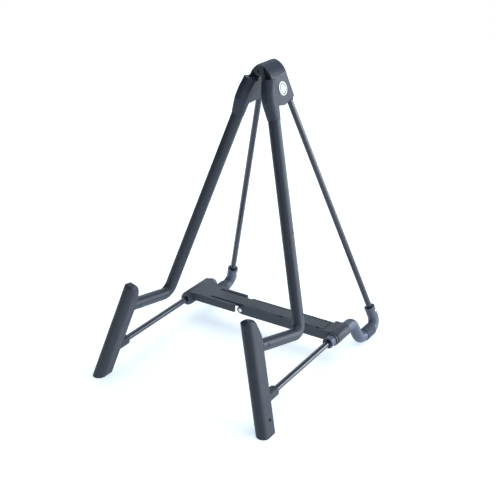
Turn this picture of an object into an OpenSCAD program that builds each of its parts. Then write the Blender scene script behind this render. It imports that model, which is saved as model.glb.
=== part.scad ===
// Folding A-frame instrument stand: two mirrored side frames on a head hinge,
// held apart by a two-piece folding brace.
// +Z up, front towards -Y, origin on the floor under the middle of the base.
// Side-frame shapes are drawn in the frame's own plane: w outward from the hinge
// plane, y towards the back, z up with the hinge pin at z = 0.

/* [Stance] */
// Height of the hinge pin above the floor, stand open
hinge_z = 377; // [340:1:420]
// Lean of each side frame when the stand is open, degrees
open_lean = 17; // [14:0.1:19]
// Clearance from the hinge plane to each leg
leg_clear = 1.05; // [0.8:0.05:3]

/* [Front legs] */
// Outside diameter of the leg sleeve
leg_od = 15.5; // [14:0.5:17]
// Wall of the plastic leg sleeve
sleeve_wall = 1.2; // [0.8:0.1:1.6]
// Wall of the steel tubes
tube_wall = 1.2; // [0.8:0.1:1.6]
// Drop from the hinge pin to the knee, along the frame
knee_drop = 319.5; // [280:1:340]
// Backward lean of the leg from the knee up, degrees
leg_lean = 12.6; // [9:0.1:15]
// Drop from the hinge pin to the top end of the leg tube
leg_top_drop = 17; // [15:1:25]
// Length of the forward arm, knee to front bar
arm_len = 86; // [75:1:100]
// Upward slope of the arm towards the front, degrees
arm_rise = 14.2; // [5:0.1:20]
// Centreline radius of the knee bend
knee_r = 13; // [11:0.5:20]

/* [Front bars] */
// How far a front bar stands out beyond the leg's diameter, each side
bar_side_wall = 0.75; // [0.5:0.05:3]
// Depth of a front bar, front to back
bar_d = 24; // [22:0.5:28]
// Height of a front bar above the arm centreline, along the bar
bar_above = 36; // [30:1:50]
// Forward lean of the bar towards its foot, degrees
bar_lean = 11.4; // [6:0.1:15]
// Depth that the arm enters the bar
arm_seat = 14; // [10:1:16]
// Depth that the lower rod enters the bar and its boss
rod_seat = 26; // [20:1:30]

/* [Rods and rear tubes] */
// Diameter of the solid rods
rod_d = 8; // [7:0.5:9]
// Outside diameter of the rear bent tubes
tube_od = 15; // [14:0.5:16]
// Drop from the hinge pin to the lower rod, along the frame
rod_drop = 359; // [330:1:365]
// Distance of the tube's open front end behind the knee
tube_front = 54; // [40:1:60]
// Distance of the first rear bend behind the knee
tube_bend = 121; // [118:1:135]
// Length of the stretch on the floor, corner to corner
foot_len = 51; // [46:1:60]
// Downward slope between the first and second bend, degrees
dip_slope = 72; // [55:1:78]
// Centreline radius of the rear bends
rear_r = 12; // [10:0.5:14]
// Wall of the rubber foot sleeve
foot_wall = 1.1; // [0.8:0.1:2]
// Drop from the hinge pin to the top end of the rear rod
rear_top_drop = 36; // [32:1:42]

/* [Head] */
// Front face of the hinge barrel, behind the knee
barrel_front = 63; // [55:1:66]
// Length of the front knuckle
knuckle_len = 9; // [7:0.5:12]
// Length of the whole hinge barrel
barrel_len = 38; // [34:1:44]
// Outside radius of the roof over the hinge barrel
barrel_r = 7.5; // [7.2:0.1:9]
// Radius of the front knuckle
knuckle_r = 6.5; // [5:0.1:7]
// Hinge pin diameter
pin_d = 3.2; // [2.8:0.1:4]
// Wall of the head mouldings
head_wall = 1.5; // [1.2:0.1:2]
// Drop of the lower edge of the side walls
skirt_drop = 46; // [40:1:52]
// Drop of the tip of the leg sleeve mouldings
sleeve_drop = 62; // [52:1:75]
// Diameter of the round badge
badge_d = 17; // [12:0.5:20]

/* [Brace] */
// Distance of the brace's middle line behind the knee
brace_y = 80.5; // [76:0.5:86]
// Width of the channel
channel_w = 26; // [22:0.5:30]
// Width of the lever plate
plate_w = 36; // [32:0.5:42]
// Length of the barrel on the lever
lever_barrel = 52; // [44:1:54]
// Length of the barrel on the channel
channel_barrel = 32; // [28:1:36]
// Wall of both barrels around the tube
barrel_wall = 2.1; // [1.6:0.1:3]
// Distance of the pivot from the left tube, along the brace
pivot_len = 83; // [70:1:95]
// Height of the brace deck above the tubes' upper edge
deck_over = 1.5; // [0.8:0.1:2]
// Depth of the channel and of the plate edge
channel_h = 14; // [11:0.5:16]
// Wall of the channel and the lever
brace_wall = 2; // [1.5:0.1:2.5]

/* [Hidden] */
$fn = 64;
eps = 0.01;
lap = 0.4;           // straight tube run into a bend
swell = 0.03;        // how much a bend's wall is thicker than the straight tube's, each side
run_fit = 0.06;      // radial running clearance of a bore on its shaft
snug = 0.05;         // radial clearance of pieces fixed together
side_gap = 0.4;      // gap between faces that swing past each other

// Knee at y = 0 in the frame's plane
frame_off = leg_od / 2 + leg_clear;              // hinge plane to the tube plane
bar_w = leg_od + 2 * bar_side_wall;
sleeve_r = tube_od / 2 + barrel_wall;
deck_up = tube_od / 2 + deck_over;
core_od = leg_od - 2 * sleeve_wall - 4 * snug;
leg_top = [(knee_drop - leg_top_drop) * tan(leg_lean), -leg_top_drop];
knee = [0, -knee_drop];
arm_end = knee + arm_len * [-cos(arm_rise), sin(arm_rise)];
arm_dir = [-cos(arm_rise), sin(arm_rise)];

// Floor under the tube plane, as a drop along the frame
floor_drop = (hinge_z + frame_off * sin(open_lean)) / cos(open_lean);
foot_r = tube_od / 2 + foot_wall;
foot_drop = (hinge_z + frame_off * sin(open_lean) - foot_r) / cos(open_lean);

// Rear tube corners
bend_a = [tube_bend, -rod_drop];
bend_b = [tube_bend + (foot_drop - rod_drop) / tan(dip_slope), -foot_drop];
bend_c = bend_b + [foot_len, 0];
rear_top_y = barrel_front + barrel_len - 2;
rear_lean = atan((bend_c[0] - rear_top_y) / (foot_drop - rear_top_drop));
rear_dir = [-sin(rear_lean), cos(rear_lean)];
rear_end = bend_c + (foot_drop - rod_drop) / cos(rear_lean) * rear_dir;
rear_top = bend_c + (foot_drop - rear_top_drop) / cos(rear_lean) * rear_dir;
rear_seat = 16;      // rod inside the tube end

// Front bar: axis frame at the arm centreline
bar_back = [cos(bar_lean), -sin(bar_lean)];
bar_base = arm_end - 2 * bar_back;               // rear face of the bar on the arm line
bar_below = (floor_drop + arm_end[1]) / cos(bar_lean) + 12;
bar_front = bar_base - bar_d * bar_back;
boss_r = rod_d / 2 + 3;

// Whole base, to centre the model on the origin
y_front = bar_front[0] - (floor_drop + arm_end[1]) * tan(bar_lean);
y_back = bend_c[0] + tube_od / 2;
y_mid = (y_front + y_back) / 2;

// Brace: tube centres in the open stand
tube_x = rod_drop * sin(open_lean) + frame_off * cos(open_lean);
tube_z = hinge_z - rod_drop * cos(open_lean) + frame_off * sin(open_lean);
pivot_up = 1;                                     // pivot above the tube centres
pivot_r = 5.2;                                    // ear radius
channel_end = 2 * tube_x - pivot_len;             // pivot to the right tube
deck_t = 2.2;                                     // skin of the lever plate
tongue_t = 5;                                     // thickness of the tongue
tongue_end = channel_end - 16;                    // pivot to the tongue's tip
tip_gap = 1.2;                                    // finger gap at the tip
ear_y = channel_w / 2;                            // outer face of an ear from the middle line
rivet_r = 1.8;
rivet_head = 0.6;
relief = 42;                                      // slots in the plate for the ears

// Places a side-frame shape on the right of the open stand
module on_right() {
    translate([0, -y_mid, hinge_z]) rotate([0, -open_lean, 0]) children();
}

// Places the same shape on the left
module on_left() { mirror([1, 0, 0]) on_right() children(); }

// Round tube along a bent centreline in the frame's plane, points [y, z]; bore = 0 is solid
module bent_tube(pts, r, bore, bend) {
    n = len(pts);
    function dir(i) = (pts[i + 1] - pts[i]) / norm(pts[i + 1] - pts[i]);
    function ang(i) = atan2(dir(i)[1], dir(i)[0]);
    function turn(i) = let (t = ang(i) - ang(i - 1)) t > 180 ? t - 360 : t < -180 ? t + 360 : t;
    function cut(i) = (i == 0 || i == n - 1) ? 0 : bend * tan(abs(turn(i)) / 2);
    translate([frame_off, 0, 0]) rotate([90, 0, 90]) {
        for (i = [0:n - 2]) {
            a = pts[i] + cut(i) * dir(i);
            b = pts[i + 1] - cut(i + 1) * dir(i);
            translate([a[0], a[1], 0]) rotate([0, 0, ang(i)]) rotate([90, 0, 90])
                translate([0, 0, i > 0 ? -lap : 0])
                linear_extrude(norm(b - a) + (i > 0 ? lap : 0) + (i < n - 2 ? lap : 0)) ring(r, bore);
        }
        for (i = [1:1:n - 2]) {
            side = turn(i) > 0 ? 1 : -1;
            centre = pts[i] - cut(i) * dir(i - 1) + side * bend * [-dir(i - 1)[1], dir(i - 1)[0]];
            from = turn(i) > 0 ? ang(i - 1) - 90 : ang(i) + 90;
            translate([centre[0], centre[1], 0]) rotate([0, 0, from])
                rotate_extrude(angle = abs(turn(i))) translate([bend, 0])
                ring(r + swell, bore > 0 ? bore - swell : 0);
        }
    }
}

// Cross-section of a tube
module ring(r, bore) {
    difference() {
        circle(r = r);
        if (bore > 0) circle(r = bore);
    }
}

// Straight round bar in the frame's plane from a to b
module plane_bar(a, b, r) { bent_tube([a, b], r, 0, 1); }

// Round bar along y, at drop z and offset w
module y_bar(w, z, y0, y1, r) {
    translate([w, y0, z]) rotate([-90, 0, 0]) cylinder(r = r, h = y1 - y0);
}

// ---------------------------------------------------------------- head
knuckle_gap = 0.3;                                // end gap between knuckles
mid_len = 10;                                     // left knuckle between the right ones
mid_front = barrel_front + knuckle_len + knuckle_gap;
mid_back = mid_front + mid_len;
barrel_back = barrel_front + barrel_len;
roof_front = barrel_front + 2;                    // front edge of the right roof
inner_r = barrel_r - head_wall - 0.4;             // knuckles under the roof
wall_out = frame_off + rod_d / 2 + head_wall + 0.4;
roof_low = 14;                                    // drop where the roof becomes the wall
roof_r = (pow(wall_out, 2) + pow(roof_low, 2) - pow(barrel_r, 2)) / (2 * (wall_out - barrel_r));
roof_turn = atan2(roof_low, roof_r - wall_out);   // where the barrel's arc meets the roof's
roof_top = 90 - open_lean - 2;                    // the two roofs meet over the pin
strip_out = frame_off + leg_od / 2 + 0.9;                      // flat outer strip of the leg socket
socket_top = 14.5;                                  // drop of the socket's top face
bulge = 5.5;                                      // how far the socket swells forward

function on_leg(drop) = [(knee_drop - drop) * tan(leg_lean), -drop];
function on_rod(drop) = rear_top + (rear_top_drop - drop) / cos(rear_lean) * rear_dir;
function backwards(list) = [for (i = [len(list) - 1:-1:0]) list[i]];

// Outer line of the roof in front view, from over the pin to the wall, t inside the surface
function roof_line(t) = concat(
    [for (i = [0:4]) let (a = roof_top + (roof_turn - roof_top) * i / 4)
        (barrel_r - t) * [cos(a), sin(a)]],
    [for (i = [1:10]) let (a = roof_turn * (1 - i / 10))
        [wall_out - roof_r, -roof_low] + (roof_r - t) * [cos(a), sin(a)]]);

// Extrudes a front-view shape from y0 to y1
module along_y(y0, y1) {
    translate([0, y1, 0]) rotate([90, 0, 0]) linear_extrude(y1 - y0) children();
}

module roof_shell(y0) {
    along_y(y0, barrel_back) polygon(concat(roof_line(0), [[wall_out, -roof_low - 6],
        [wall_out - head_wall, -roof_low - 6]], backwards(roof_line(head_wall))));
}

// Solid web that ties a knuckle to the roof and the wall on its own side
module web(y0, y1) {
    along_y(y0, y1) polygon(concat([[0, 0]], roof_line(0.3),
        [[wall_out - 0.3, -roof_low - 3], [frame_off, -roof_low - 3], [web_in, -roof_low - 2],
        [side_gap, -9]]));
}

// Side wall between the leg and the rear rod, with a rounded lower edge
module wall_plate() {
    heel = on_rod(skirt_drop - 4);
    toe = on_leg(skirt_drop - 3);
    translate([wall_out - head_wall, 0, 0]) rotate([90, 0, 90]) linear_extrude(head_wall) hull() {
        polygon([[roof_front, -roof_low], [barrel_back - 1, -9], [barrel_back - 1, -roof_low]]);
        translate(heel + [2.8, 0.6]) circle(r = 2.5, $fn = 32);
        translate([(heel[0] + toe[0]) / 2, -skirt_drop + 1]) circle(r = 4, $fn = 32);
        translate(toe) circle(r = 3, $fn = 32);
    }
}

// Flared sleeve around the top of the leg, flat on its inner and outer sides
module leg_socket() {
    low = on_leg(sleeve_drop);
    len = (sleeve_drop - socket_top) / cos(leg_lean);
    intersection() {
        translate([frame_off, low[0], low[1]]) rotate([-leg_lean, 0, 0]) hull() {
            cylinder(r = leg_od / 2 + 0.5, h = 1, $fn = 32);
            for (h = [0.42, 0.66]) translate([0, -bulge, h * len])
                cylinder(r = leg_od / 2 + head_wall - 0.2, h = 1, $fn = 32);
            translate([0, -1, len - 1]) cylinder(r = leg_od / 2 + head_wall, h = 1, $fn = 32);
        }
        translate([side_gap / 2, 0, -sleeve_drop - 5]) cube([strip_out - side_gap / 2, 200, sleeve_drop]);
    }
}

// One head moulding without its knuckles
module head_body() {
    wall_plate();
    leg_socket();
    plane_bar(on_rod(roof_low + 2), on_rod(skirt_drop + 1), rod_d / 2 + head_wall);
    inner_web();
}
// Inner web beside the hinge plane, from the leg to the rear rod
web_in = 2.4;        // inner face of the web from the hinge plane
module inner_web() {
    translate([web_in, 0, 0]) rotate([90, 0, 90]) linear_extrude(head_wall) polygon([
        on_leg(socket_top + 2), on_rod(roof_low + 3), on_rod(skirt_drop), on_leg(skirt_drop + 2)]);
}

// Seats of the leg and the rear rod
module head_bores() {
    plane_bar(leg_top, on_leg(sleeve_drop + 20), leg_od / 2 + snug);
    plane_bar(rear_top, on_rod(skirt_drop + 20), rod_d / 2 + snug);
    y_bar(0, 0, barrel_front - 1, barrel_back + 1, pin_d / 2 + run_fit);
}

module head_right_shape() {
    difference() {
        union() {
            head_body();
            roof_shell(roof_front);
            y_bar(0, 0, barrel_front, mid_front - knuckle_gap, knuckle_r);
            web(mid_front - knuckle_gap - 3, mid_front - knuckle_gap);
            translate([side_gap, barrel_front + 2, -socket_top - 1])
                cube([knuckle_r - 1, knuckle_len - 2, socket_top]);
            y_bar(0, 0, mid_back + knuckle_gap, barrel_back, inner_r);
            web(mid_back + knuckle_gap, barrel_back - 1);
        }
        head_bores();
        y_bar(0, 0, mid_front - knuckle_gap, mid_back + knuckle_gap, inner_r + side_gap);
    }
}

module head_left_shape() {
    difference() {
        union() {
            head_body();
            roof_shell(mid_front);
            y_bar(0, 0, mid_front, mid_back, inner_r);
            web(mid_front, mid_back);
        }
        head_bores();
        y_bar(0, 0, 0, mid_front, knuckle_r + side_gap);
        y_bar(0, 0, mid_back, barrel_back + 1, inner_r + side_gap);
    }
}

module right_head() { color("dimgray") on_right() head_right_shape(); }
module left_head() { color("dimgray") on_left() head_left_shape(); }
right_head();
left_head();

// Hinge pin, sunk a little into the front knuckle, with its groove end at the back
module hinge_pin() {
    color("black") translate([0, -y_mid, hinge_z])
        y_bar(0, 0, barrel_front + 2, barrel_back + 3, pin_d / 2);
}
hinge_pin();

// Push-on clip on the back end of the hinge pin
module hinge_clip() {
    color("silver") translate([0, -y_mid, hinge_z]) difference() {
        y_bar(0, 0, barrel_back + 0.2, barrel_back + 1.6, pin_d / 2 + 2.2);
        y_bar(0, 0, barrel_back - 1, barrel_back + 3, pin_d / 2);
    }
}
hinge_clip();

// Round badge with a raised rim, on the side wall
badge_y = (leg_top[0] + rear_top[0]) / 2 + 0.5;
badge_drop = 29;
badge_t = 0.8;
module badge() {
    translate([wall_out, badge_y, -badge_drop]) rotate([0, 90, 0]) difference() {
        cylinder(d = badge_d, h = badge_t);
        translate([0, 0, badge_t / 2]) difference() {
            cylinder(d = badge_d - 3, h = badge_t);
            cylinder(d = badge_d - 6, h = badge_t);
        }
    }
}
module right_badge() { color("white") on_right() badge(); }
module left_badge() { color("white") on_left() badge(); }
right_badge();
left_badge();

// ---------------------------------------------------------------- front legs
sleeve_in = 2;       // sleeve inside the bar
leg_path = [leg_top, knee, arm_end + arm_seat * arm_dir];
module leg_tube() { bent_tube(leg_path, core_od / 2, core_od / 2 - tube_wall, knee_r); }
module leg_sleeve() {
    difference() {
        bent_tube([leg_top, knee, arm_end + sleeve_in * arm_dir], leg_od / 2, leg_od / 2 - sleeve_wall,
            knee_r);
        leg_holes();
    }
}
// Small holes in both sides of the sleeve, and the slot beside the bar
hole_drops = [198, 297];   // holes, below the hinge pin
hole_r = 1.2;
slot_back = 8;             // slot, behind the bar
slot_w = 1.8;
slot_h = 5;
module leg_holes() {
    for (d = hole_drops) translate([frame_off, on_leg(d)[0], -d])
        rotate([0, 90, 0]) for (s = [-1, 1]) translate([0, 0, s * (leg_od / 2 - sleeve_wall / 2)])
            cylinder(r = hole_r, h = sleeve_wall + 0.8, center = true);
    slot = arm_end - slot_back * arm_dir;
    for (s = [-1, 1]) translate([frame_off + s * (leg_od / 2 - sleeve_wall / 2), slot[0], slot[1]])
        rotate([-arm_rise, 0, 0]) cube([sleeve_wall + 0.8, slot_w, slot_h], center = true);
}
module right_leg_tube() { color("gray") on_right() leg_tube(); }
module left_leg_tube() { color("gray") on_left() leg_tube(); }
module right_leg_sleeve() { color("dimgray") on_right() leg_sleeve(); }
module left_leg_sleeve() { color("dimgray") on_left() leg_sleeve(); }
right_leg_tube();
left_leg_tube();
right_leg_sleeve();
left_leg_sleeve();

// ---------------------------------------------------------------- front bars
// In the bar's own frame: origin where the arm meets its rear face, y back, z up the bar
module in_bar() {
    translate([frame_off, bar_base[0], bar_base[1]]) rotate([-bar_lean, 0, 0]) children();
}
top_r = 7.5;         // radius of the bar's top, seen from the side
slope_low = 9;       // height above the arm where the back starts to slope forward

// Side view of the bar, as a plate as wide as the bar
module bar_side() {
    rotate([90, 0, 90]) linear_extrude(bar_w, center = true) union() {
        translate([top_r - bar_d, bar_above - top_r]) circle(r = top_r);
        polygon([[-bar_d, bar_above - top_r], [-bar_d, -bar_below], [0, -bar_below], [0, slope_low],
            [2 * top_r - bar_d - 0.6, bar_above - top_r + 2.5]]);
    }
}
// Front view, with a round top
module bar_face() {
    rotate([90, 0, 0]) linear_extrude(bar_d) {
        translate([0, bar_above - bar_w / 2]) circle(d = bar_w);
        translate([-bar_w / 2, -bar_below]) square([bar_w, bar_below + bar_above - bar_w / 2]);
    }
}
// Bar body: half-round front, flat sides, small round rear edges
edge_r = 3;
module bar_section() {
    h = bar_above + bar_below;
    translate([0, 0, -bar_below]) {
        translate([0, bar_w / 2 - bar_d, 0]) cylinder(d = bar_w, h = h);
        translate([-bar_w / 2, bar_w / 2 - bar_d, 0]) cube([bar_w, bar_d - bar_w / 2 - edge_r, h]);
        translate([-bar_w / 2 + edge_r, -edge_r - eps, 0]) cube([bar_w - 2 * edge_r, edge_r + eps, h]);
        for (s = [-1, 1]) translate([s * (bar_w / 2 - edge_r), -edge_r, 0]) cylinder(r = edge_r, h = h);
    }
}
module below_floor() { translate([-400, -400, -100]) cube([800, 800, 100]); }

rod_front = [bar_base[0] - 2, -rod_drop];
screw_low = 86;      // screw below the arm, along the bar
// Places the screw on the outer side of the bar, pointing outward
module at_screw() {
    in_bar() translate([bar_w / 2 - 6, -bar_d / 2 + 3, -screw_low]) rotate([0, 90, 0]) children();
}
module front_bar() {
    difference() {
        union() {
            in_bar() intersection() {
                bar_section();
                bar_side();
                bar_face();
            }
            y_bar(frame_off, -rod_drop, rod_front[0] - 14, rod_front[0] + 9, boss_r);
        }
        plane_bar(arm_end + (arm_seat + 0.5) * arm_dir, arm_end, core_od / 2 + snug);
        plane_bar(arm_end + (sleeve_in + snug) * arm_dir, arm_end - 30 * arm_dir, leg_od / 2 + snug);
        y_bar(frame_off, -rod_drop, rod_front[0] - rod_seat + 9, rod_front[0] + 40, rod_d / 2 + snug);
        at_screw() cylinder(r = 1.9, h = 20);
    }
}
module bar_screw() {
    at_screw() difference() {
        cylinder(r = 1.85, h = 4.8);
        translate([0, 0, 3.8]) cylinder(r = 1.1, h = 3, $fn = 6);
    }
}
module right_front_bar() { color("dimgray") difference() { on_right() front_bar(); below_floor(); } }
module left_front_bar() { color("dimgray") difference() { on_left() front_bar(); below_floor(); } }
module right_bar_screw() { color("black") on_right() bar_screw(); }
module left_bar_screw() { color("black") on_left() bar_screw(); }
right_front_bar();
left_front_bar();
right_bar_screw();
left_bar_screw();

// ---------------------------------------------------------------- lower rods and rear tubes
bush_len = 12;       // rod bush in each open tube end
module lower_rod() {
    y_bar(frame_off, -rod_drop, rod_front[0] - rod_seat + 9, tube_front + 14, rod_d / 2);
}
module rear_tube() {
    bent_tube([[tube_front, -rod_drop], bend_a, bend_b, bend_c, rear_end], tube_od / 2,
        tube_od / 2 - tube_wall, rear_r);
}
// Ribbed rubber sleeve on the stretch that stands on the floor
foot_sleeve_len = 22;
rib_pitch = 2.2;
rib_h = 0.5;
rear_turn = 90 + rear_lean;
sleeve_to = bend_c[0] - rear_r * tan(rear_turn / 2) - 1;
module foot_sleeve() {
    from = sleeve_to - foot_sleeve_len;
    difference() {
        union() {
            y_bar(frame_off, -foot_drop, from, sleeve_to, foot_r - rib_h);
            for (i = [0:floor(foot_sleeve_len / rib_pitch) - 1])
                y_bar(frame_off, -foot_drop, from + i * rib_pitch, from + (i + 0.55) * rib_pitch, foot_r);
        }
        y_bar(frame_off, -foot_drop, from - 1, sleeve_to + 1, tube_od / 2 + 2 * snug);
    }
}
bush_r = tube_od / 2 - tube_wall - snug;
module rod_bushes() {
    difference() {
        union() {
            plane_bar([tube_front + 0.5, -rod_drop], [tube_front + bush_len, -rod_drop], bush_r);
            plane_bar(rear_end - 0.5 * rear_dir, rear_end - bush_len * rear_dir, bush_r);
        }
        y_bar(frame_off, -rod_drop, tube_front - 1, tube_front + bush_len + 1, rod_d / 2 + snug);
        plane_bar(rear_end + 2 * rear_dir, rear_end - (bush_len + 2) * rear_dir, rod_d / 2 + snug);
        rivet_shape(snug);
    }
}
// Cross rivet through tube, bush and rod
module rivet_shape(grow = 0) {
    c = rear_end - 6 * rear_dir;
    translate([frame_off, c[0], c[1]]) rotate([0, 90, 0]) {
        cylinder(r = 1.2 + grow, h = tube_od + 0.6, center = true);
    }
}
module rear_rivet() {
    c = rear_end - 6 * rear_dir;
    difference() {
        union() {
            rivet_shape();
            translate([frame_off, c[0], c[1]]) rotate([0, 90, 0])
                cylinder(r = 2, h = tube_od + 1, center = true);
        }
        translate([frame_off, c[0], c[1]]) rotate([rear_lean, 0, 0]) difference() {
            cylinder(r = tube_od / 2 + snug, h = 30, center = true);
            rotate([0, 90, 0]) cylinder(r = 1.2, h = 40, center = true);
        }
    }
}
module rear_rod() {
    difference() {
        plane_bar(rear_end - (rear_seat) * rear_dir, rear_top, rod_d / 2);
        rivet_shape(snug);
    }
}
module right_lower_rod() { color("black") on_right() lower_rod(); }
module left_lower_rod() { color("black") on_left() lower_rod(); }
module right_rear_tube() { color("dimgray") on_right() difference() { rear_tube(); rivet_shape(snug); } }
module left_rear_tube() { color("dimgray") on_left() difference() { rear_tube(); rivet_shape(snug); } }
module right_foot_sleeve() { color("black") on_right() foot_sleeve(); }
module left_foot_sleeve() { color("black") on_left() foot_sleeve(); }
module right_rod_bushes() { color("black") on_right() rod_bushes(); }
module left_rod_bushes() { color("black") on_left() rod_bushes(); }
module right_rear_rod() { color("black") on_right() rear_rod(); }
module left_rear_rod() { color("black") on_left() rear_rod(); }
module right_rear_rivet() { color("silver") on_right() rear_rivet(); }
module left_rear_rivet() { color("silver") on_left() rear_rivet(); }
right_lower_rod();
left_lower_rod();
right_rear_tube();
left_rear_tube();
right_foot_sleeve();
left_foot_sleeve();
right_rod_bushes();
left_rod_bushes();
right_rear_rod();
left_rear_rod();
right_rear_rivet();
left_rear_rivet();

// ---------------------------------------------------------------- brace
channel_front = brace_y - channel_barrel / 2 + 3.5;
lever_front = brace_y - lever_barrel / 2 + 5;
collar_len = 3;
// Thin ring on the tube in front of the brace barrel
module stop_collar(front) {
    difference() {
        y_bar(frame_off, -rod_drop, front - collar_len - side_gap, front - side_gap, tube_od / 2 + 1.4);
        y_bar(frame_off, -rod_drop, front - 20, front + 20, tube_od / 2);
    }
}
module right_stop_collar() {
    color("black") on_right() stop_collar(min(channel_front, brace_y - channel_w / 2));
}
module left_stop_collar() {
    color("black") on_left() stop_collar(min(lever_front, brace_y - plate_w / 2));
}
right_stop_collar();
left_stop_collar();

// Brace pieces are drawn with the pivot at x = 0, y = 0 on the middle line, z = 0 at
// the tube centres, then set between the tubes
pivot_x = -tube_x + pivot_len;
module in_brace() {
    translate([pivot_x, brace_y - y_mid, tube_z]) children();
}
bore_r = tube_od / 2 + run_fit;
lever_y0 = lever_front - brace_y;
lever_y1 = lever_y0 + lever_barrel;
channel_y0 = channel_front - brace_y;
channel_y1 = channel_y0 + channel_barrel;
plate_end = -(pivot_r + 1.5);   // right edge of the wide plate, from the pivot
tongue_gap = 1.0;    // gap along each side of the tongue
tongue_w = channel_w - 2 * brace_wall - 2 * tongue_gap;
slot_in = tongue_w / 2 + tongue_gap - side_gap;
slot_out = channel_w / 2 + rivet_head + side_gap;

module lever_outline() {
    polygon([[-pivot_len, lever_y0 + 1], [-pivot_len + 14, -plate_w / 2], [plate_end, -plate_w / 2],
        [plate_end, plate_w / 2], [-pivot_len + 34, plate_w / 2], [-pivot_len + 22, plate_w / 2 + 4],
        [-pivot_len + 12, lever_y1 - 4], [-pivot_len, lever_y1 - 1]]);
}
module brace_lever() {
    color("dimgray") in_brace() difference() {
        union() {
            y_bar(-pivot_len, 0, lever_y0, lever_y1, sleeve_r);
            // wide plate: skin with deep edges
            difference() {
                translate([0, 0, deck_up - channel_h + 3]) linear_extrude(channel_h - 3) lever_outline();
                translate([-pivot_len, -plate_w / 2 + 3, -20])
                    cube([pivot_len + 20, plate_w - 6, 20 + deck_up - deck_t]);
            }
            // tongue
            translate([plate_end - relief, -tongue_w / 2, deck_up - tongue_t])
                cube([tongue_end - plate_end + relief, tongue_w, tongue_t]);
            // boss over the pivot
            y_bar(0, pivot_up, -tongue_w / 2, tongue_w / 2, 3.2);
            translate([-3.2, -tongue_w / 2, pivot_up]) cube([6.4, tongue_w, deck_up - 2 - pivot_up]);
        }
        y_bar(-pivot_len, 0, min(lever_y0, -plate_w / 2) - 1, max(lever_y1, plate_w / 2) + 1, bore_r);
        // slots that let the ears of the channel swing through
        for (s = [-1, 1]) translate([plate_end - relief, s > 0 ? slot_in : -slot_out, -30])
            cube([relief + 30, slot_out - slot_in, 60]);
        // finger recess under the tip
        translate([tongue_end - 14, -tongue_w / 2 + 3, deck_up - tongue_t - 1])
            cube([20, tongue_w - 6, 3]);
    }
}
brace_lever();

groove_x = 3;        // groove in the barrel's top, outside the tube centre
snap_pitch = 18.5;   // spacing of the snap slots
snap_first = 8;      // last slot, before the tongue's tip
snap_len = 6;
snap_skin = 0.6;     // wall left outside a slot
snap_deep = 3.5;
web_from = 14;       // left end of the channel's web, from the pivot
module channel_side() {
    rotate([90, 0, 0]) linear_extrude(brace_wall) difference() {
        union() {
            translate([0, pivot_up]) circle(r = pivot_r);
            polygon([[0, pivot_up + pivot_r], [5, deck_up], [channel_end, deck_up],
                [channel_end, deck_up - channel_h], [3, deck_up - channel_h], [0, pivot_up - pivot_r]]);
        }
        translate([0, pivot_up]) circle(r = rivet_r + snug);
    }
}
module brace_channel() {
    color("dimgray") in_brace() difference() {
        union() {
            for (y = [-ear_y + brace_wall, ear_y]) translate([0, y, 0]) channel_side();
            translate([web_from, -ear_y, deck_up - channel_h])
                cube([channel_end - web_from, channel_w, brace_wall]);
            // deck between the tongue's tip and the barrel
            translate([tongue_end + tip_gap, -ear_y, deck_up - 3])
                cube([channel_end - tongue_end - tip_gap, channel_w, 3]);
            y_bar(channel_end, 0, channel_y0, channel_y1, sleeve_r);
            translate([channel_end - 12, channel_y0 + 1, deck_up - 3])
                cube([12 + groove_x, channel_barrel - 2, 3]);
        }
        // groove between the deck and the barrel's outer half
        translate([channel_end + groove_x, channel_y0 - 1, deck_up - 0.6]) cube([0.9, channel_barrel + 2, 3]);
        y_bar(channel_end, 0, min(channel_y0, -ear_y) - 1, max(channel_y1, ear_y) + 1, bore_r);
        // snap slots along both edges
        for (i = [0:3]) for (s = [-1, 1])
            translate([tongue_end - snap_first - i * snap_pitch, s * (ear_y - brace_wall), deck_up])
                cube([snap_len, 2 * (brace_wall - snap_skin), 2 * snap_deep], center = true);
    }
}
brace_channel();

// Headed pivot rivets, one through each ear
module brace_rivets() {
    color("silver") in_brace() for (s = [-1, 1]) scale([1, s, 1]) {
        y_bar(0, pivot_up, ear_y - brace_wall, ear_y, rivet_r);
        y_bar(0, pivot_up, ear_y, ear_y + rivet_head, rivet_r + 0.9);
    }
}
brace_rivets();
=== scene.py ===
import math

import bpy
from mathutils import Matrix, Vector


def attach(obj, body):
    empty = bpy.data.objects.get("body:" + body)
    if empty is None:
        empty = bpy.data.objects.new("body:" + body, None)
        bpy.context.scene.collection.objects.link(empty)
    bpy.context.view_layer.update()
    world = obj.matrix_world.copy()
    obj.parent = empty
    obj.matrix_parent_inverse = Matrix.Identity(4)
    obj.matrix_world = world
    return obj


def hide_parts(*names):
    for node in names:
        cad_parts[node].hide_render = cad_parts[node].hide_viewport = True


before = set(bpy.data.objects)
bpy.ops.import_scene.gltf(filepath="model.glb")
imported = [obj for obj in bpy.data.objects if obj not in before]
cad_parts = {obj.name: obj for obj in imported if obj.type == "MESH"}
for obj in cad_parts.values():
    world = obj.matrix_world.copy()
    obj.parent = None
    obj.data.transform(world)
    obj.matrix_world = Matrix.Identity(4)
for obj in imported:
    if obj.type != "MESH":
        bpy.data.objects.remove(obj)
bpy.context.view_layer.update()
SIDES = ("right", "left")

# ---- Front legs ---------------------------------------------------------------------
# Each leg is a bent steel tube pushed into a smooth plastic sleeve, which carries the
# instrument's back. The tube shows only at the holes, and its drawn steel is coloured near black as painted
# shade for those dark holes.


def add(tree, kind, at=None, **sockets):
    """A shader node of this kind, with its named inputs set or linked."""
    node = tree.nodes.new("ShaderNode" + kind)
    for name, value in (at or {}).items():
        setattr(node, name, value)
    for name, value in sockets.items():
        socket = node.inputs[int(name[1:])] if name[1:].isdigit() else node.inputs[name.replace("_", " ")]
        if isinstance(value, bpy.types.NodeSocket):
            tree.links.new(value, socket)
        else:
            socket.default_value = value
    return node


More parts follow.
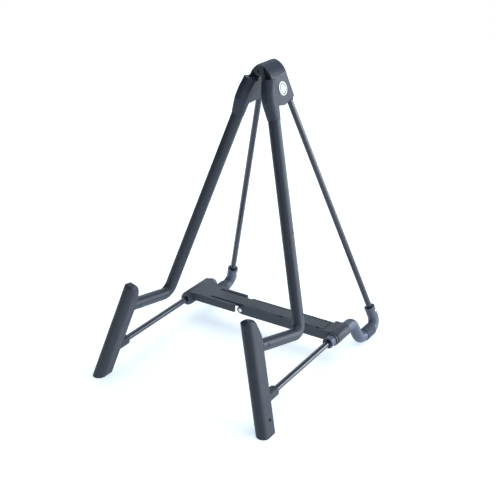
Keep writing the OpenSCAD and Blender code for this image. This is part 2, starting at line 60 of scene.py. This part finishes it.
def new_group(name, inputs, outputs):
    """An empty shader group and its two end nodes. inputs maps a name to its default."""
    tree = bpy.data.node_groups.new(name, "ShaderNodeTree")
    for label, value in inputs.items():
        kind = "NodeSocketColor" if isinstance(value, tuple) else "NodeSocketFloat"
        tree.interface.new_socket(label, in_out="INPUT", socket_type=kind).default_value = value
    for label in outputs:
        kind = "NodeSocketColor" if label == "Colour" else "NodeSocketFloat"
        tree.interface.new_socket(label, in_out="OUTPUT", socket_type=kind)
    return tree, tree.nodes.new("NodeGroupInput"), tree.nodes.new("NodeGroupOutput")


def maths(tree, operation, a, b=0.0, clamp=False):
    return add(tree, "Math", {"operation": operation, "use_clamp": clamp}, _0=a, _1=b).outputs[0]


def noise(tree, scale, detail=2.0, roughness=0.5, distortion=0.0):
    """Noise in the piece's own metres, so that its size is a real one."""
    place = add(tree, "TexCoord").outputs["Object"]
    return add(tree, "TexNoise", Vector=place, Scale=scale, Detail=detail, Roughness=roughness,
               Distortion=distortion).outputs[0]


# The fine pitted skin that a spark-eroded or blasted mould leaves, at its real pitch.
mould_grain, ends, out = new_group("mould_grain", {"Pitch": 0.0004, "Unevenness": 0.5}, ["Height"])
per_metre = maths(mould_grain, "DIVIDE", 1.0, ends.outputs["Pitch"])
place = add(mould_grain, "TexCoord").outputs["Object"]
pits = add(mould_grain, "TexVoronoi", {"feature": "SMOOTH_F1"}, Vector=place, Scale=per_metre)
ripple = add(mould_grain, "TexNoise", Vector=place, Detail=3.0,
             Scale=maths(mould_grain, "MULTIPLY", per_metre, 0.4))
uneven = maths(mould_grain, "MULTIPLY", ripple.outputs[0], ends.outputs["Unevenness"])
mould_grain.links.new(maths(mould_grain, "ADD", pits.outputs["Distance"], uneven), out.inputs["Height"])

# Soft cloudy change over hand-sized areas: handling and slightly uneven cooling.
handling, ends, out = new_group("handling", {"Size": 0.03, "Contrast": 2.0}, ["Mask"])
per_metre = maths(handling, "DIVIDE", 1.0, ends.outputs["Size"])
cloud = add(handling, "TexNoise", Vector=add(handling, "TexCoord").outputs["Object"], Scale=per_metre,
            Detail=4.0, Roughness=0.6, Distortion=0.4).outputs[0]
centred = maths(handling, "SUBTRACT", cloud, 0.5)
spread = maths(handling, "MULTIPLY", centred, ends.outputs["Contrast"])
handling.links.new(maths(handling, "ADD", spread, 0.5, clamp=True), out.inputs["Mask"])

# Convex edges, rubbed a little lighter and smoother where hands and the case touch them.
edge_rub, ends, out = new_group("edge_rub", {"Width": 0.0006, "Amount": 1.0}, ["Mask"])
rounded = add(edge_rub, "Bevel", {"samples": 4}, Radius=ends.outputs["Width"]).outputs[0]
facing = add(edge_rub, "NewGeometry").outputs["Normal"]
same = add(edge_rub, "VectorMath", {"operation": "DOT_PRODUCT"}, _0=rounded, _1=facing).outputs["Value"]
TURN_GAIN, PATCH_SCALE, PATCH_GAIN = 6.0, 260.0, 1.4    # PATCH_SCALE is in patches per metre
turned = maths(edge_rub, "MULTIPLY", maths(edge_rub, "SUBTRACT", 1.0, same), TURN_GAIN, clamp=True)
patchy = maths(edge_rub, "MULTIPLY", noise(edge_rub, PATCH_SCALE, 3.0), PATCH_GAIN, clamp=True)
rub = maths(edge_rub, "MULTIPLY", maths(edge_rub, "MULTIPLY", turned, patchy), ends.outputs["Amount"])
edge_rub.links.new(rub, out.inputs["Mask"])


def use(tree, group, **values):
    """Places a group in a material, with its own values."""
    node = tree.nodes.new("ShaderNodeGroup")
    node.node_tree = group
    for name, value in values.items():
        node.inputs[name].default_value = value
    return node


def mix(tree, mask, a, b):
    """Colour a where the mask is 0 and b where it is 1."""
    node = add(tree, "Mix", {"data_type": "RGBA"})
    tree.links.new(mask, node.inputs["Factor"])
    for socket, value in ((node.inputs[6], a), (node.inputs[7], b)):
        if isinstance(value, bpy.types.NodeSocket):
            tree.links.new(value, socket)
        else:
            socket.default_value = (*value, 1.0)
    return node.outputs[2]


def remap(tree, mask, low, high):
    return add(tree, "MapRange", Value=mask, _3=low, _4=high).outputs[0]


def blank(name):
    """A new material with only its Principled shader."""
    material = bpy.data.materials.new(name)
    material.use_nodes = True
    return material, material.node_tree, material.node_tree.nodes["Principled BSDF"]


SPECK_SHARE, RUB_POLISH = 0.25, 0.12


def moulded(name, dark, light, edge, rough, pitch, depth, cloud=0.03, rub=1.0):
    """Moulded or coated finish: grain, clouding and rubbed edges over two near tones."""
    material, tree, shader = blank(name)
    cloudy = use(tree, handling, Size=cloud).outputs["Mask"]
    worn = use(tree, edge_rub, Amount=rub).outputs["Mask"]
    grain = use(tree, mould_grain, Pitch=pitch).outputs["Height"]
    speck = remap(tree, grain, 0.0, SPECK_SHARE)
    base = mix(tree, speck, mix(tree, cloudy, dark, light), [0.5 * c for c in dark])
    tree.links.new(mix(tree, worn, base, edge), shader.inputs["Base Color"])
    uneven = remap(tree, cloudy, rough[0], rough[1])
    polished = maths(tree, "MULTIPLY", worn, RUB_POLISH)
    tree.links.new(maths(tree, "SUBTRACT", uneven, polished), shader.inputs["Roughness"])
    bump = add(tree, "Bump", Height=grain, Distance=depth, Strength=1.0)
    tree.links.new(bump.outputs["Normal"], shader.inputs["Normal"])
    return material


def finish_nodes(material, *names):
    """Gives CAD nodes their finish through their own material slots."""
    for name in names:
        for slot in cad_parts[name].material_slots:
            slot.material = material


def both(piece):
    return [side + "_" + piece for side in SIDES]


# Near-black steel colour: painted shade for the tube seen deep in the sleeve's holes; the fine streaks are
# real drawing lines.
drawn_steel_painted_shade, tree, shader = blank("drawn_steel_painted_shade")
streaks = add(tree, "Mapping", Vector=add(tree, "TexCoord").outputs["Object"])
streaks.inputs["Scale"].default_value = (1.0, 1.0, 0.03)
lines = add(tree, "TexNoise", Vector=streaks.outputs[0], Scale=2600.0, Detail=4.0).outputs[0]
tree.links.new(mix(tree, lines, (0.020, 0.022, 0.026), (0.045, 0.048, 0.054)), shader.inputs["Base Color"])
tree.links.new(remap(tree, lines, 0.25, 0.5), shader.inputs["Roughness"])
shader.inputs["Metallic"].default_value = 1.0
finish_nodes(drawn_steel_painted_shade, *both("leg_tube"))

sleeve_plastic = moulded("sleeve_plastic", (0.024, 0.030, 0.045), (0.032, 0.039, 0.057), (0.09, 0.10, 0.13),
                         (0.40, 0.52), 0.00035, 0.00002, cloud=0.05)
finish_nodes(sleeve_plastic, *both("leg_sleeve"))

# ---- Front bars ---------------------------------------------------------------------
# Soft-touch mouldings pushed over the ends of the arms. They stop the body of the
# instrument at the front, and their cut feet stand on the floor.


def moulding(node, body, material):
    """A new piece with the CAD node's surface, which takes the node's place on its body."""
    piece = bpy.data.objects.new(node + "_moulding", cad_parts[node].data.copy())
    bpy.context.scene.collection.objects.link(piece)
    piece.data.materials.clear()
    piece.data.materials.append(material)
    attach(piece, body)
    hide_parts(node)
    return piece


def softened(piece, voxel, passes):
    """Gives a moulding its real small edge radii: a fine skin, relaxed a few times."""
    skin = piece.modifiers.new("skin", "REMESH")
    skin.mode, skin.voxel_size, skin.use_smooth_shade = "VOXEL", voxel, True
    relax = piece.modifiers.new("relax", "SMOOTH")
    relax.factor, relax.iterations = 0.5, passes


bar_plastic = moulded("bar_plastic", (0.021, 0.026, 0.040), (0.028, 0.034, 0.050), (0.08, 0.09, 0.115),
                      (0.48, 0.60), 0.0005, 0.00004)
for side in SIDES:
    bar = moulding(side + "_front_bar", side + "_frame", bar_plastic)
    softened(bar, voxel=0.0006, passes=6)

black_oxide = moulded("black_oxide", (0.014, 0.014, 0.016), (0.022, 0.022, 0.025), (0.10, 0.10, 0.11),
                      (0.25, 0.42), 0.0003, 0.00001, cloud=0.004)
finish_nodes(black_oxide, *both("bar_screw"))

# ---- Rods ---------------------------------------------------------------------------
# Solid steel rods in gloss black powder coat: the lower ones run from the bars to the
# rear tubes, the long ones from the rear tubes up into the head.

rod_paint = moulded("rod_paint", (0.011, 0.016, 0.032), (0.016, 0.022, 0.042), (0.05, 0.063, 0.095),
                    (0.20, 0.30), 0.0012, 0.00003, cloud=0.02)
rod_shader = rod_paint.node_tree.nodes["Principled BSDF"]
rod_shader.inputs["Coat Weight"].default_value = 0.4
rod_shader.inputs["Coat Roughness"].default_value = 0.12
finish_nodes(rod_paint, *both("lower_rod"), *both("rear_rod"))

# ---- Rear tubes and foot sleeves ----------------------------------------------------
# Bent steel tubes in satin black powder coat carry the brace and touch the floor.
# A ribbed rubber sleeve covers the stretch that stands on the floor.

tube_coat = moulded("tube_coat", (0.085, 0.102, 0.145), (0.100, 0.119, 0.165), (0.16, 0.18, 0.22),
                    (0.36, 0.48), 0.0008, 0.00004, cloud=0.03)
finish_nodes(tube_coat, *both("rear_tube"))
foot_rubber = moulded("foot_rubber", (0.075, 0.090, 0.125), (0.090, 0.106, 0.145), (0.13, 0.145, 0.18),
                      (0.60, 0.78), 0.0006, 0.00008, cloud=0.01)
finish_nodes(foot_rubber, *both("foot_sleeve"))

bush_nylon = moulded("bush_nylon", (0.040, 0.049, 0.068), (0.052, 0.062, 0.084), (0.09, 0.10, 0.12),
                     (0.45, 0.6), 0.0004, 0.00002)
finish_nodes(bush_nylon, *both("rod_bushes"), *both("stop_collar"))

zinc, tree, shader = blank("zinc_plate")
crystals = noise(tree, 900.0, 3.0)
tree.links.new(mix(tree, crystals, (0.62, 0.63, 0.65), (0.80, 0.80, 0.80)), shader.inputs["Base Color"])
tree.links.new(remap(tree, crystals, 0.18, 0.36), shader.inputs["Roughness"])
shader.inputs["Metallic"].default_value = 1.0
finish_nodes(zinc, *both("rear_rivet"), "hinge_clip", "brace_rivets")

# ---- Head ---------------------------------------------------------------------------
# Two grained mouldings hold a leg and a rear rod each, and turn on one steel pin under
# a rounded roof. A white disc with a dark ring sunk into it is set in each side wall.

head_plastic = moulded("head_plastic", (0.020, 0.026, 0.043), (0.026, 0.034, 0.054), (0.080, 0.094, 0.125),
                       (0.46, 0.60), 0.0006, 0.00006)
for side in SIDES:
    head = moulding(side + "_head", side + "_frame", head_plastic)
    softened(head, voxel=0.0004, passes=3)
finish_nodes(black_oxide, "hinge_pin")

badge_white, tree, shader = blank("badge_white")
dust = use(tree, handling, Size=0.004).outputs["Mask"]
enamel = mix(tree, dust, (0.80, 0.81, 0.82), (0.90, 0.90, 0.90))
ring_in, ring_out = 0.64, 0.83
centred = add(tree, "VectorMath", {"operation": "SUBTRACT"}, _0=add(tree, "TexCoord").outputs["Generated"],
              _1=(0.5, 0.5, 0.5)).outputs[0]
flat = add(tree, "VectorMath", {"operation": "MULTIPLY"}, _0=centred, _1=(0.0, 2.0, 2.0)).outputs[0]
radius = add(tree, "VectorMath", {"operation": "LENGTH"}, _0=flat).outputs["Value"]
inside, outside = maths(tree, "LESS_THAN", radius, ring_out), maths(tree, "GREATER_THAN", radius, ring_in)
ring = maths(tree, "MULTIPLY", outside, inside)
tree.links.new(mix(tree, ring, enamel, (0.03, 0.035, 0.05)), shader.inputs["Base Color"])
tree.links.new(remap(tree, dust, 0.25, 0.4), shader.inputs["Roughness"])
finish_nodes(badge_white, *both("badge"))

# ---- Brace --------------------------------------------------------------------------
# A lever plate on the left tube and a channel on the right one meet at a pivot. The
# lever's tongue snaps flush between the channel's sides and locks the stand open.

brace_plastic = moulded("brace_plastic", (0.029, 0.036, 0.051), (0.038, 0.046, 0.064), (0.085, 0.097, 0.12),
                        (0.42, 0.55), 0.0005, 0.00004)


def eased(piece, width):
    """Eases the sharp edges of a moulding by a narrow round."""
    piece.modifiers.new("joined", "WELD").merge_threshold = 0.00001
    round_off = piece.modifiers.new("round_off", "BEVEL")
    round_off.width, round_off.segments, round_off.limit_method = width, 2, "ANGLE"
    round_off.angle_limit, round_off.harden_normals = math.radians(40), True


EDGE_ROUND = 0.0007
eased(moulding("brace_lever", "lever", brace_plastic), EDGE_ROUND)
eased(moulding("brace_channel", "channel", brace_plastic), EDGE_ROUND)

# ---- Studio -------------------------------------------------------------------------
# A plain white floor that glows a little, two cool soft lights from the right, weaker
# ones from above, behind and in front, and a white surround.

floor_mesh = bpy.data.meshes.new("studio_floor")
half = 1.9    # metres from the middle to an edge
corners = [(-half, -half, 0), (half, -half, 0), (half, half, 0), (-half, half, 0)]
floor_mesh.from_pydata(corners, [], [(0, 1, 2, 3)])
floor = bpy.data.objects.new("studio_floor", floor_mesh)
bpy.context.scene.collection.objects.link(floor)
paper, tree, shader = blank("studio_paper")
shader.inputs["Base Color"].default_value = (0.93, 0.93, 0.93, 1.0)
shader.inputs["Roughness"].default_value = 0.9
shader.inputs["Emission Color"].default_value = (0.78, 0.89, 1.0, 1.0)
shader.inputs["Emission Strength"].default_value = 0.6
floor_mesh.materials.append(paper)


def soft_light(name, place, aim, size, power):
    lamp = bpy.data.lights.new(name, "AREA")
    lamp.shape, lamp.size, lamp.energy = "DISK", size, power
    lamp.color = (0.84, 0.92, 1.0)
    holder = bpy.data.objects.new(name, lamp)
    holder.location = place
    holder.rotation_euler = (Vector(aim) - Vector(place)).to_track_quat("-Z", "Y").to_euler()
    bpy.context.scene.collection.objects.link(holder)


soft_light("side_low", (1.7, 2.0, 0.45), (0, 0, 0.2), 1.6, 45)
soft_light("key_right", (2.4, 0.3, 0.5), (0, 0, 0.2), 1.4, 33)
soft_light("top_soft", (0.3, 0.8, 3.0), (0.3, 0.8, 0.0), 4.0, 70)
soft_light("back_soft", (-1.6, 2.4, 1.3), (0, 0, 0.1), 2.2, 18)
soft_light("fill_front", (1.2, -2.2, 1.2), (0, 0, 0.2), 2.0, 10)

surround = bpy.data.worlds.new("studio_white")
surround.use_nodes = True
surround.node_tree.nodes["Background"].inputs["Color"].default_value = (1, 1, 1, 1)
seen = add(surround.node_tree, "LightPath").outputs["Is Camera Ray"]
dim_light, seen_white = 0.06, 1.0
surround.node_tree.links.new(remap(surround.node_tree, seen, dim_light, seen_white),
                             surround.node_tree.nodes["Background"].inputs["Strength"])
bpy.context.scene.world = surround

azimuth, elevation, distance = math.radians(32.74), math.radians(24.57), 1.3
aim = Vector((-0.0073, 0.0212, 0.1431))
offset = Vector((math.sin(azimuth) * math.cos(elevation), -math.cos(azimuth) * math.cos(elevation),
                 math.sin(elevation)))
lens = bpy.data.cameras.new("camera")
lens.lens, lens.sensor_width = 72.2, 36.0
camera = bpy.data.objects.new("camera", lens)
camera.location = aim + distance * offset
camera.rotation_euler = (-offset).to_track_quat("-Z", "Y").to_euler()
bpy.context.scene.collection.objects.link(camera)
bpy.context.scene.camera = camera
bpy.context.scene.view_settings.view_transform = "Standard"
